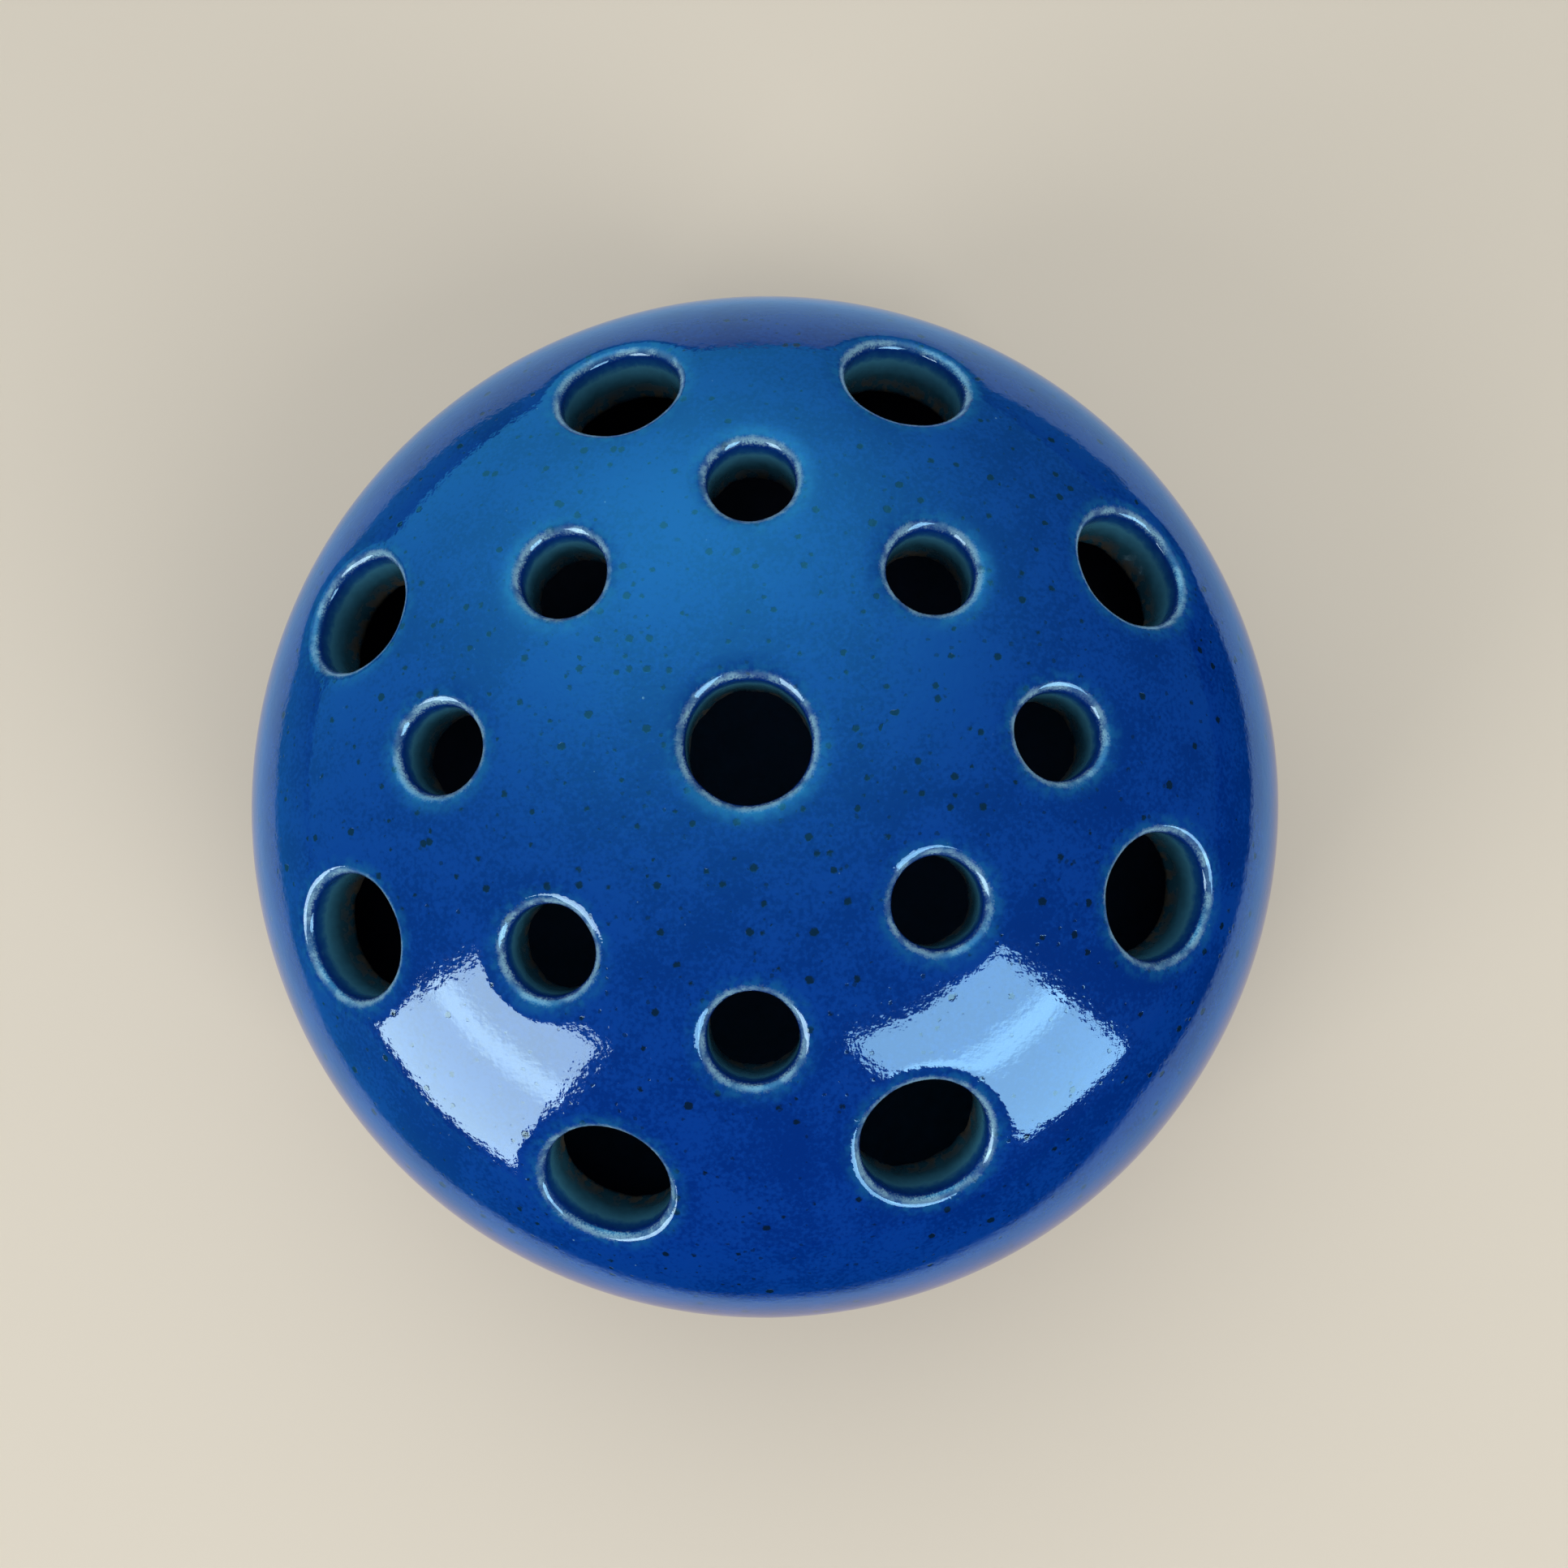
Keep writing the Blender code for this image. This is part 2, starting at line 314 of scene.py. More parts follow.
class Bore:
    """The rings of one stem hole, from the dome over the lip and down to the chamber's ceiling."""

    def __init__(self, hole, dome, ceiling):
        self.hole = hole
        turns = np.arange(HOLE_POINTS) * 2 * math.pi / HOLE_POINTS
        self.radial = np.outer(np.cos(turns), hole.out) + np.outer(np.sin(turns), hole.side)
        true_circle = hole.centre + self.radial * hole.radius
        self.radius = hole.radius + LIP_WOBBLE * noise_at(true_circle, WOBBLE_SIZE)
        axis = hole.axis
        first = self.dipped(dome, LIP_ROUND)
        travel = first - self.dipped(dome, LIP_ROUND + SLOPE_STEP)
        inwards = -np.sum(travel * self.radial, axis=1)
        short = np.sum((first - hole.centre) * self.radial, axis=1) - self.radius
        bend = first + travel * (short / inwards)[:, None]
        wall_top = bend - axis * LIP_ROUND
        edge = self.on(ceiling, 0.0)
        wall_end = edge + axis * EDGE_ROUND
        seam = wall_top - axis * SEAM_DEPTH
        last = self.on(ceiling, EDGE_ROUND)

        self.dome_rings = [self.dipped(dome, LIP_ROUND + out) for out in LIP_RINGS]
        lip = [first] + corner(first, bend, wall_top, LIP_STEPS) + [wall_top]
        shares = np.linspace(0.0, 1.0, BORE_ROWS + 1)[1:]
        wall = [seam + (wall_end - seam) * share for share in shares]
        under = corner(wall_end, edge, last, EDGE_STEPS)
        self.rings = lip + [seam] + [self.rough(ring, seam) for ring in wall + under] + [last]
        self.seam_at = len(lip)
        self.from_lip = list(LIP_LENGTH * (0.5 - np.linspace(0.0, 1.0, len(lip))))
        self.from_lip = [np.full(HOLE_POINTS, value) for value in self.from_lip]
        for ring in self.rings[self.seam_at :]:
            depth = np.sum((wall_top - ring) * axis, axis=1)
            self.from_lip.append(-LIP_LENGTH / 2 - depth)
        self.from_chamber = [np.sum((ring - edge) * axis, axis=1) for ring in self.rings]
        self.ceiling_ring = self.on(ceiling, EDGE_ROUND + CEILING_RING)

    def on(self, surface, out):
        starts = self.hole.centre + self.radial * (self.radius + out)[:, None]
        return surface.hit(starts, self.hole.axis)

    def dipped(self, dome, out):
        points = self.on(dome, out)
        return points - dome.normal(points) * dip(out)

    def rough(self, ring, seam):
        """The cut clay is rougher the deeper it is."""
        depth = np.sum((seam - ring) * self.hole.axis, axis=1)
        share = np.clip(depth / BURR_DEPTH, 0.0, 1.0)
        bumps = noise_at(ring, BURR_SIZE) + 0.5 * noise_at(ring, FINE_BURR_SIZE)
        return ring + self.radial * (BURR * share * bumps)[:, None]


# ---------------------------------------------------------------- the skin


class Skin:
    """Points, faces and what each face and point is made of."""

    def __init__(self):
        self.points, self.from_lip, self.from_chamber, self.cover = [], [], [], []
        self.faces, self.zones = [], []
        self.count = 0

    def add(self, points, from_lip=FAR, from_chamber=FAR, cover=COVER):
        """Adds points and gives their numbers."""
        self.points.append(points)
        for store, value in (
            (self.from_lip, from_lip),
            (self.from_chamber, from_chamber),
            (self.cover, cover),
        ):
            store.append(np.broadcast_to(value, len(points)).astype(float))
        self.count += len(points)
        return np.arange(self.count - len(points), self.count)

    def strip(self, upper, lower, zone):
        """Quads between two rings, with the air on the right of the way from upper to lower."""
        for k in range(len(upper)):
            after = (k + 1) % len(upper)
            self.faces.append((upper[k], lower[k], lower[after], upper[after]))
            self.zones.append(zone)

    def fan(self, ring, tip, zone):
        for k in range(len(ring)):
            self.faces.append((ring[k], tip, ring[(k + 1) % len(ring)]))
            self.zones.append(zone)

    def sheet(self, surface, loops, loose, zone, upwards):
        """Triangles between closed loops. The first loop is the outside of the sheet."""
        numbers = np.concatenate(loops + loose)
        plane = surface.unrolled(np.concatenate(self.points)[numbers])
        edges = []
        start = 0
        for loop in loops:
            size = len(loop)
            edges += [(start + k, start + (k + 1) % size) for k in range(size)]
            start += size
        spots = [Vector(spot) for spot in plane / MM]
        made = delaunay_2d_cdt(spots, edges, [], 0, 1e-7)
        origin = [came[0] for came in made[3]]
        inner = [plane[sum(map(len, loops[:n])) :][: len(loops[n])] for n in range(1, len(loops))]
        discs = [(ring.mean(axis=0), ring) for ring in inner]
        for triangle in made[2]:
            corners = [origin[k] for k in triangle]
            middle = plane[corners].mean(axis=0)
            if any(inside(middle, centre, ring) for centre, ring in discs):
                continue
            found = [int(numbers[k]) for k in corners]
            self.faces.append(tuple(found if upwards else found[::-1]))
            self.zones.append(zone)


def inside(spot, centre, ring):
    """Whether a spot of the plane lies inside a round loop about centre."""
    away = spot - centre
    spokes = ring - centre
    if away @ away > (spokes**2).sum(axis=1).max():
        return False
    turns = np.arctan2(spokes[:, 1], spokes[:, 0])
    order = turns.argsort()
    turn = math.atan2(away[1], away[0])
    reach = np.interp(turn, turns[order], np.linalg.norm(spokes, axis=1)[order], period=2 * math.pi)
    return math.hypot(*away) < reach


def circle(radius, height, count):
    turns = np.arange(count) * 2 * math.pi / count
    return np.column_stack(
        [radius * np.cos(turns), radius * np.sin(turns), np.full(count, height)]
    )


def grid(surface, spacing, edge_radius, bores, margin):
    """Points on a surface in a triangular grid, clear of its edge and of the bores' rings."""
    reach = np.interp(edge_radius, surface.r, surface.arc)
    rows = int(reach / (spacing * math.sqrt(0.75))) + 1
    spots = []
    for row in range(-rows, rows + 1):
        shift = 0.5 * (row % 2)
        for column in range(-rows - 1, rows + 2):
            spots.append(((column + shift) * spacing, row * spacing * math.sqrt(0.75)))
    spots = np.array(spots)
    spots = spots[np.hypot(spots[:, 0], spots[:, 1]) < reach - 0.6 * spacing]
    points = surface.rolled(spots)
    for bore in bores:
        points = points[bore.hole.clear_of(points) > margin]
    return points


def lip_distance(points, bores):
    nearest = np.min([bore.hole.clear_of(points) for bore in bores], axis=0)
    return nearest - LIP_ROUND + LIP_LENGTH / 2


def round_corners(corners, spacing):
    """(r, z) points along straight runs between (r, z, rounding) corners."""
    path = []
    spots = [np.array((r, z)) for r, z, _ in corners]
    for k, (spot, (_, _, rounding)) in enumerate(zip(spots, corners)):
        if rounding == 0.0:
            path.append(spot)
            continue
        before, after = spots[k - 1] - spot, spots[k + 1] - spot
        start = spot + before / np.linalg.norm(before) * rounding
        end = spot + after / np.linalg.norm(after) * rounding
        path += [start] + corner(start, spot, end, CORNER_STEPS) + [end]
    filled = [path[0]]
    for spot in path[1:]:
        run = spot - filled[-1]
        steps = max(1, round(np.linalg.norm(run) / spacing))
        filled += [filled[-1] + run * (step + 1) / steps for step in range(steps)]
    return np.array(filled)


def add_bores(skin, bores):
    """The lips and bores. Gives the rings' numbers that the dome and the ceiling join."""
    tops, bottoms, loose_top, loose_bottom = [], [], [], []
    for bore in bores:
        rings = [
            skin.add(ring, bore.from_lip[k], bore.from_chamber[k])
            for k, ring in enumerate(bore.rings)
        ]
        for k in range(len(rings) - 1):
            zone = DOME if k < bore.seam_at else LINER
            skin.strip(rings[k + 1], rings[k], zone)
        tops.append(rings[0])
        bottoms.append(rings[-1])
        for out, ring in zip(LIP_RINGS, bore.dome_rings):
            loose_top.append(skin.add(ring, out + LIP_LENGTH / 2))
        loose_bottom.append(skin.add(bore.ceiling_ring, -FAR, -EDGE_ROUND - CEILING_RING))
    return tops, bottoms, loose_top, loose_bottom


def add_outside(skin, dome, belly, tops, loose, bores):
    """The dome between the lips, then rows down the belly to the glaze line, and the foot."""
    rows = dome.rows(DOME_EDGE, dome.radius, ROW_SPACING)
    below = belly.rows(belly.radius, GLAZE_LINE_RADIUS + 2.0 * BEAD, ROW_SPACING)
    path = [(r, z, COVER) for r, z in np.concatenate([rows, below[1:]])]
    path += bead(belly)
    rings = []
    for r, z, cover in path:
        ring = circle(r, z, DOME_POINTS)
        rings.append(skin.add(ring, lip_distance(ring, bores), cover=cover))
    margin = LIP_ROUND + LIP_RINGS[-1] + 0.55 * DOME_SPACING
    inner = grid(dome, DOME_SPACING, DOME_EDGE, bores, margin)
    loose = loose + [skin.add(inner, lip_distance(inner, bores))]
    skin.sheet(dome, [rings[0]] + tops, loose, DOME, upwards=True)
    for upper, lower in zip(rings, rings[1:]):
        skin.strip(upper, lower, DOME)
    for r, z in foot_path(belly):
        ring = skin.add(circle(r, z, DOME_POINTS), cover=0.0)
        skin.strip(rings[-1], ring, BARE)
        rings.append(ring)
    tip = skin.add(np.array([[0.0, 0.0, RECESS_HEIGHT]]), cover=0.0)
    skin.fan(rings[-1], tip[0], BARE)


def inset(surface, radius, depth):
    """(r, z) at a plan radius of the curve, moved depth inwards along its normal."""
    z = np.interp(radius, surface.r, surface.z) + surface.waist
    spot = np.array([[radius, 0.0, z]])
    moved = spot[0] - surface.normal(spot)[0] * depth
    return moved[0], moved[2]


def bead(belly):
    """The last rows of the coat, which thins to nothing at the glaze line."""
    rows = []
    for step in range(1, BEAD_STEPS + 1):
        turn = math.pi / 2 * step / BEAD_STEPS
        radius = GLAZE_LINE_RADIUS + 2.0 * BEAD * (1.0 - math.sin(turn))
        sunk = (COVER - BEAD_EDGE) * (1.0 - math.cos(turn))
        rows.append((*inset(belly, radius, sunk), COVER - sunk))
    return rows


def foot_path(belly):
    """(r, z) rows of bare clay from the glaze line round the foot to the recess's middle."""
    upper = [
        inset(belly, radius, COVER + SEAT)
        for radius in np.linspace(GLAZE_LINE_RADIUS, FOOT_RADIUS + 2.0 * MM, 5)[1:]
    ]
    inner = FOOT_RADIUS - FOOT_WIDTH
    neck = inset(belly, FOOT_RADIUS, COVER + SEAT)[1] - 0.4 * MM
    corners = [
        (*upper[-1], 0.0),
        (FOOT_RADIUS - 0.2 * MM, neck, 0.7 * MM),
        (FOOT_RADIUS, 0.0, FOOT_ROUND),
        (inner, 0.0, FOOT_ROUND),
        (inner - 0.9 * MM, RECESS_HEIGHT, 1.2 * MM),
        (1.0 * MM, RECESS_HEIGHT, 0.0),
    ]
    lower = round_corners(corners, FOOT_SPACING)[1:]
    flat = lower[:, 0] < inner - 2.5 * MM
    lower[:, 1] += np.where(flat, GROOVE * np.sin(lower[:, 0] * 2 * math.pi / GROOVE_PITCH), 0.0)
    return upper + [tuple(spot) for spot in lower]


def add_chamber(skin, ceiling, floor, bottoms, loose, bores):
    """The ceiling between the bores, then the wall and the floor with their throwing rings."""
    rows = ceiling.rows(CEILING_EDGE, ceiling.radius, CHAMBER_ROW)
    below = floor.rows(floor.radius, 1.5 * MM, CHAMBER_ROW)
    rings = []
    for k, (r, z) in enumerate(np.concatenate([rows, below[1:]])):
        ring = circle(r, z, CHAMBER_POINTS)
        if k >= len(rows):
            turns = np.arange(CHAMBER_POINTS) * 2 * math.pi / CHAMBER_POINTS
            travel = np.interp(r, floor.r, floor.arc)
            swell = THROW_DEPTH * np.sin(travel * 2 * math.pi / THROW_PITCH + turns)
            fade = min(1.0, (k - len(rows)) / THROW_FADE_ROWS, r / THROW_FADE_RADIUS)
            ring = ring + floor.normal(ring) * (swell * fade)[:, None]
        rings.append(skin.add(ring, -FAR, -FAR))
    margin = EDGE_ROUND + CEILING_RING + 0.5 * CEILING_SPACING
    inner = grid(ceiling, CEILING_SPACING, CEILING_EDGE, bores, margin)
    loose = loose + [skin.add(inner, -FAR, -FAR)]
    skin.sheet(ceiling, [rings[0]] + bottoms, loose, LINER, upwards=False)
    for upper, lower in zip(rings, rings[1:]):
        skin.strip(lower, upper, LINER)
    tip = skin.add(np.array([[0.0, 0.0, floor.waist + floor.height]]), -FAR, -FAR)
    skin.fan(rings[-1][::-1], tip[0], LINER)


def waved(points, waist):
    """The points drawn in towards the pot's middle by slow waves, and left alone at the foot."""
    middle = np.array([0.0, 0.0, waist])
    waves = 1.0 + noise_at(points, WAVE_SIZE, seed=3.7)
    share = np.clip(points[:, 2] / waist, 0.0, 1.0)
    return middle + (points - middle) * (1.0 - WAVE_SHARE * waves * share)[:, None]


def point_normals(points, faces):
    """Outward directions at the points, averaged over the faces by their size."""
    total = np.zeros_like(points)
    for size in (3, 4):
        rows = np.array([face for face in faces if len(face) == size])
        across = points[rows[:, 2]] - points[rows[:, 0]]
        other = points[rows[:, -1]] - points[rows[:, 1]]
        flat = np.cross(across, other)
        for k in range(size):
            np.add.at(total, rows[:, k], flat)
    return total / np.linalg.norm(total, axis=1)[:, None]


def make_skin():
    dome, belly, ceiling, floor = outline_surfaces()
    bores = [Bore(hole, dome, ceiling) for hole in find_holes(dome)]
    skin = Skin()
    tops, bottoms, loose_top, loose_bottom = add_bores(skin, bores)
    add_outside(skin, dome, belly, tops, loose_top, bores)
    add_chamber(skin, ceiling, floor, bottoms, loose_bottom, bores)
    skin.points = waved(np.concatenate(skin.points), dome.waist)
    skin.from_lip = np.concatenate(skin.from_lip)
    skin.from_chamber = np.concatenate(skin.from_chamber)
    skin.cover = np.concatenate(skin.cover)
    skin.normals = point_normals(skin.points, skin.faces)
    return skin


# ---------------------------------------------------------------- pieces


# How far into the chamber its painted shade material starts, near black and dull, and the angle that
# shows as an edge.
SHADE_MATERIAL_START = 0.3 * MM
EDGE_ANGLE = 40


def make_piece(name, points, faces, from_lip, from_chamber, *materials):
    """A mesh piece. A second material, the chamber's painted shade, is for the faces that lie wholly
    inside the chamber.
    """
    mesh = bpy.data.meshes.new(name)
    mesh.from_pydata(points.tolist(), [], faces)
    for label, values in (("from_lip", from_lip), ("from_chamber", from_chamber)):
        attribute = mesh.attributes.new(label, "FLOAT", "POINT")
        attribute.data.foreach_set("value", (values / MM).astype(np.float32))
    for material in materials:
        mesh.materials.append(material)
    if len(materials) > 1:
        within = [all(from_chamber[k] < -SHADE_MATERIAL_START for k in face) for face in faces]
        mesh.polygons.foreach_set("material_index", np.array(within, np.int32))
    mesh.shade_smooth()
    mesh.set_sharp_from_angle(angle=math.radians(EDGE_ANGLE))
    piece = bpy.data.objects.new(name, mesh)
    bpy.context.scene.collection.objects.link(piece)
    return piece


def glaze_coat(name, skin, zone, *materials):
    """A coat: the skin's faces of one zone, the same faces at its back, and the edges between."""
    front = [face for face, place in zip(skin.faces, skin.zones) if place == zone]
    used = np.unique(np.concatenate([np.array(face) for face in front]))
    number = {int(old): new for new, old in enumerate(used)}
    front = [tuple(number[int(k)] for k in face) for face in front]
    shift = len(used)
    back = [tuple(k + shift for k in face[::-1]) for face in front]
    edges = {(face[k - 1], face[k]) for face in front for k in range(len(face))}
    rim = [(a, b) for a, b in sorted(edges) if (b, a) not in edges]
    sides = [(b, a, a + shift, b + shift) for a, b in rim]
    behind = skin.points[used] - skin.normals[used] * skin.cover[used][:, None]
    points = np.concatenate([skin.points[used], behind])
    from_lip = np.tile(skin.from_lip[used], 2)
    from_chamber = np.tile(skin.from_chamber[used], 2)
    return make_piece(name, points, front + back + sides, from_lip, from_chamber, *materials)


def clay_body(name, skin, material):
    """The whole skin, sunk by the coat's thickness wherever there is a coat."""
    depth = np.where(skin.cover > 0.0, skin.cover + SEAT, 0.0)
    points = skin.points - skin.normals * depth[:, None]
    faces = [tuple(int(k) for k in face) for face in skin.faces]
    return make_piece(name, points, faces, skin.from_lip, skin.from_chamber, material)


# ---------------------------------------------------------------- materials


def add(tree, kind, inputs=None, **settings):
    """A node with its properties set. Each input is a value, or a socket to link from."""
    made = tree.nodes.new("ShaderNode" + kind)
    for name, value in settings.items():
        setattr(made, name, value)
    for name, value in (inputs or {}).items():
        if isinstance(value, bpy.types.NodeSocket):
            tree.links.new(value, made.inputs[name])
        else:
            made.inputs[name].default_value = value
    return made


def math_node(tree, operation, *values):
    return add(tree, "Math", dict(enumerate(values)), operation=operation).outputs[0]


def dot(tree, way, towards):
    inputs = {0: way, 1: towards}
    return add(tree, "VectorMath", inputs, operation="DOT_PRODUCT").outputs["Value"]


def give_bump(tree, shader, height, depth):
    bump = add(tree, "Bump", {"Height": height, "Strength": 1.0, "Distance": depth})
    tree.links.new(bump.outputs["Normal"], shader.inputs["Normal"])


def remap(tree, value, low, high, to_low=0.0, to_high=1.0):
    """A smooth change from to_low to to_high as value goes from low to high."""
    inputs = {"Value": value, 1: low, 2: high, 3: to_low, 4: to_high}
    return add(tree, "MapRange", inputs, interpolation_type="SMOOTHSTEP").outputs[0]


def mix(tree, factor, first, second):
    """A mix of two colours. The factor is the share of the second."""
    made = add(tree, "Mix", {0: factor}, data_type="RGBA")
    for socket, colour in ((made.inputs[6], first), (made.inputs[7], second)):
        if isinstance(colour, bpy.types.NodeSocket):
            tree.links.new(colour, socket)
        else:
            socket.default_value = (*colour, 1.0)
    return made.outputs[2]


def ramp(tree, value, stops):
    """A colour ramp with (position, colour with alpha) stops."""
    made = add(tree, "ValToRGB", {0: value})
    elements = made.color_ramp.elements
    while len(elements) < len(stops):
        elements.new(0.5)
    for element, (position, colour) in zip(elements, stops):
        element.position = position
        element.color = colour
    return made


def speckle(tree, place, cell, share, size, soft=0.035):
    """A mask of small spots in a share of the cells. Size and soft edge are shares of a cell."""
    cells = add(tree, "TexVoronoi", {"Vector": place, "Scale": 1.0 / cell}, feature="F1")
    chance = add(tree, "SeparateColor", {0: cells.outputs["Color"]})
    reach = math_node(tree, "MULTIPLY", chance.outputs[1], size)
    chosen = math_node(tree, "LESS_THAN", chance.outputs[0], share)
    edge = math_node(tree, "SUBTRACT", reach, cells.outputs["Distance"])
    spot = remap(tree, edge, 0.0, soft)
    return math_node(tree, "MULTIPLY", spot, chosen)


def lumps(tree, place, size, detail=2.0):
    inputs = {"Vector": place, "Scale": 1.0 / size, "Detail": detail, "Roughness": 0.55}
    return add(tree, "TexNoise", inputs).outputs["Fac"]


def new_material(name):
    material = bpy.data.materials.new(name)
    material.use_nodes = True
    tree = material.node_tree
    shader = tree.nodes["Principled BSDF"]
    place = add(tree, "TexCoord").outputs["Object"]
    return material, tree, shader, place


# Glaze colours: where it lies thick and thin, its iron specks and pinholes, the pale crest of a lip
# and the milky ring round it, and the clay that shows at the inner edge of a bore, darkened as
# painted shade deep in the bore.
DEEP_BLUE = (0.0002, 0.0135, 0.138)
BRIGHT_BLUE = (0.0012, 0.0240, 0.190)
IRON = (0.0012, 0.0032, 0.014)
PALE = (0.10, 0.22, 0.33)
CREST = (0.160, 0.300, 0.400)
HALO = (0.005, 0.070, 0.195)
# The chamber's colours are painted shade: the inside of the closed pot made near black.
CHAMBER_PAINTED_SHADE = (0.0004, 0.0010, 0.0035)
CHAMBER_SHADE_NAVY = (0.0012, 0.0016, 0.0065), (0.0030, 0.0038, 0.0130)
SHADED_BORE_CLAY = (0.016, 0.013, 0.008), (0.075, 0.058, 0.036)
CLAY_DARK, CLAY_LIGHT = (0.30, 0.19, 0.105), (0.42, 0.28, 0.165)
CLAY_GRIT, CLAY_SPECK = (0.16, 0.09, 0.045), (0.035, 0.02, 0.012)

# Colour and strength down a bore, by millimetres outwards from the middle of the lip's curve. Under
# the lip the glaze pools dark blue, then thins to teal; deeper down the bands darken towards black
# as painted shade.
BORE_GLAZE_AND_SHADE_BANDS = (
    (-9.0, (0.004, 0.014, 0.022, 1.0)),
    (-4.5, (0.010, 0.048, 0.075, 1.0)),
    (-2.3, (0.028, 0.130, 0.210, 1.0)),
    (-1.6, (0.006, 0.055, 0.170, 1.0)),
    (-0.6, (0.0006, 0.0160, 0.125, 0.9)),
    (0.4, (0.0006, 0.0170, 0.135, 0.0)),
)
BAND_START = BORE_GLAZE_AND_SHADE_BANDS[0][0]
BAND_SPAN = 10.0
CREST_AT = 0.16
CREST_HALF = 0.68

# Where the iron specks crowd on the dome, and how ragged their outlines are.
CROWD_MIDDLE = (-0.012, 0.010, 0.072)
CROWD_NEAR, CROWD_FAR = 20.0 * MM, 55.0 * MM
RAGGED_SIZE = 0.35 * MM
RAGGED_PUSH = (0.45 * MM,) * 3
SPECK_SOFT = 0.12

# Orange peel of the fired surface.
PEEL_SIZE = 0.9 * MM
SWELL_SIZE = 4.0 * MM
PEEL_DEPTH = 0.020 * MM


def iron_specks(tree, place):
    """A mask of the iron that bleeds through the glaze, thickest near the crown."""
    middle = {0: place, 1: CROWD_MIDDLE}
    away = add(tree, "VectorMath", middle, operation="DISTANCE").outputs["Value"]
    crowd = remap(tree, away, CROWD_NEAR, CROWD_FAR, 0.85, 0.30)
    jitter = add(tree, "TexNoise", {"Vector": place, "Scale": 1.0 / RAGGED_SIZE, "Detail": 2.0})
    push = {0: jitter.outputs["Color"], 1: RAGGED_PUSH, 2: place}
    ragged = add(tree, "VectorMath", push, operation="MULTIPLY_ADD").outputs[0]
    specks = speckle(tree, ragged, 1.7 * MM, crowd, 0.37, SPECK_SOFT)
    dots = speckle(tree, ragged, 0.9 * MM, 0.34, 0.36, SPECK_SOFT)
    iron = math_node(tree, "MAXIMUM", specks, math_node(tree, "MULTIPLY", dots, 0.6))
    return math_node(tree, "MULTIPLY", iron, 0.95)


def lip_colour(tree, place, body, from_lip):
    """The body's colour with a milky ring, the bands of a bore, which darken deeper down as painted
    shade, and the pale crest of its lip.
    """
    fine = lumps(tree, place, 0.9 * MM, 3.0)
    moved = math_node(tree, "ADD", from_lip, math_node(tree, "MULTIPLY_ADD", fine, 1.1, -0.55))
    milky = remap(tree, lumps(tree, place, 1.3 * MM), 0.40, 0.62, 0.15, 0.65)
    halo = math_node(tree, "MULTIPLY", remap(tree, moved, 2.6, 0.7), milky)
    body = mix(tree, halo, body, HALO)

    # The bands darken deeper down the bore as painted shade.
    start = math_node(tree, "SUBTRACT", moved, BAND_START)
    stops = [((at - BAND_START) / BAND_SPAN, colour) for at, colour in BORE_GLAZE_AND_SHADE_BANDS]
    bore_bands_and_shade = ramp(tree, math_node(tree, "DIVIDE", start, BAND_SPAN), stops)
    colour = mix(tree, bore_bands_and_shade.outputs["Alpha"], body, bore_bands_and_shade.outputs["Color"])

    frost = lumps(tree, place, 0.22 * MM, 3.0)
    feather = math_node(tree, "MULTIPLY_ADD", fine, 0.5, -0.25)
    feather = math_node(tree, "ADD", math_node(tree, "MULTIPLY_ADD", frost, 1.2, -0.6), feather)
    off = math_node(tree, "SUBTRACT", math_node(tree, "ADD", from_lip, feather), CREST_AT)
    crest = remap(tree, math_node(tree, "ABSOLUTE", off), CREST_HALF, 0.0)
    broken = remap(tree, lumps(tree, place, 2.2 * MM, 3.0), 0.38, 0.58, 0.25, 1.0)
    broken = math_node(tree, "MULTIPLY", broken, remap(tree, frost, 0.34, 0.60, 0.55, 1.0))
    return mix(tree, math_node(tree, "MULTIPLY", crest, broken), colour, CREST)


def glaze_colour(tree, place, from_lip, from_chamber):
    """The glaze's colour, darkened to near black in the chamber as painted shade, and masks of its
    iron specks and of bare clay near the chamber.
    """
    slow = lumps(tree, place, 9.0 * MM, 4.0)
    mottle = lumps(tree, place, 0.55 * MM, 3.0)
    shade = math_node(tree, "MULTIPLY_ADD", mottle, 0.9, math_node(tree, "SUBTRACT", slow, 0.45))
    body = mix(tree, remap(tree, shade, 0.36, 0.64), DEEP_BLUE, BRIGHT_BLUE)
    iron = iron_specks(tree, place)
    body = mix(tree, iron, body, IRON)
    pinholes = speckle(tree, place, 2.4 * MM, 0.30, 0.075)
    body = mix(tree, math_node(tree, "MULTIPLY", pinholes, 0.6), body, PALE)
    colour = lip_colour(tree, place, body, from_lip)

    # Bare clay at the bore's inner edge, in a colour darkened as painted shade.
    clay = mix(tree, lumps(tree, place, 0.5 * MM, 3.0), *SHADED_BORE_CLAY)
    worn = remap(tree, from_chamber, 3.4, 0.3)
    patch = remap(tree, lumps(tree, place, 1.5 * MM), 0.44, 0.58)
    # Inside the chamber the colour goes to near black: painted shade.
    chamber_shade_mask = remap(tree, from_chamber, 0.2, -1.0)
    bare = math_node(tree, "MULTIPLY", math_node(tree, "MULTIPLY", worn, patch),
                     math_node(tree, "SUBTRACT", 1.0, chamber_shade_mask))
    colour = mix(tree, bare, colour, clay)
    return mix(tree, chamber_shade_mask, colour, CHAMBER_PAINTED_SHADE), iron, bare


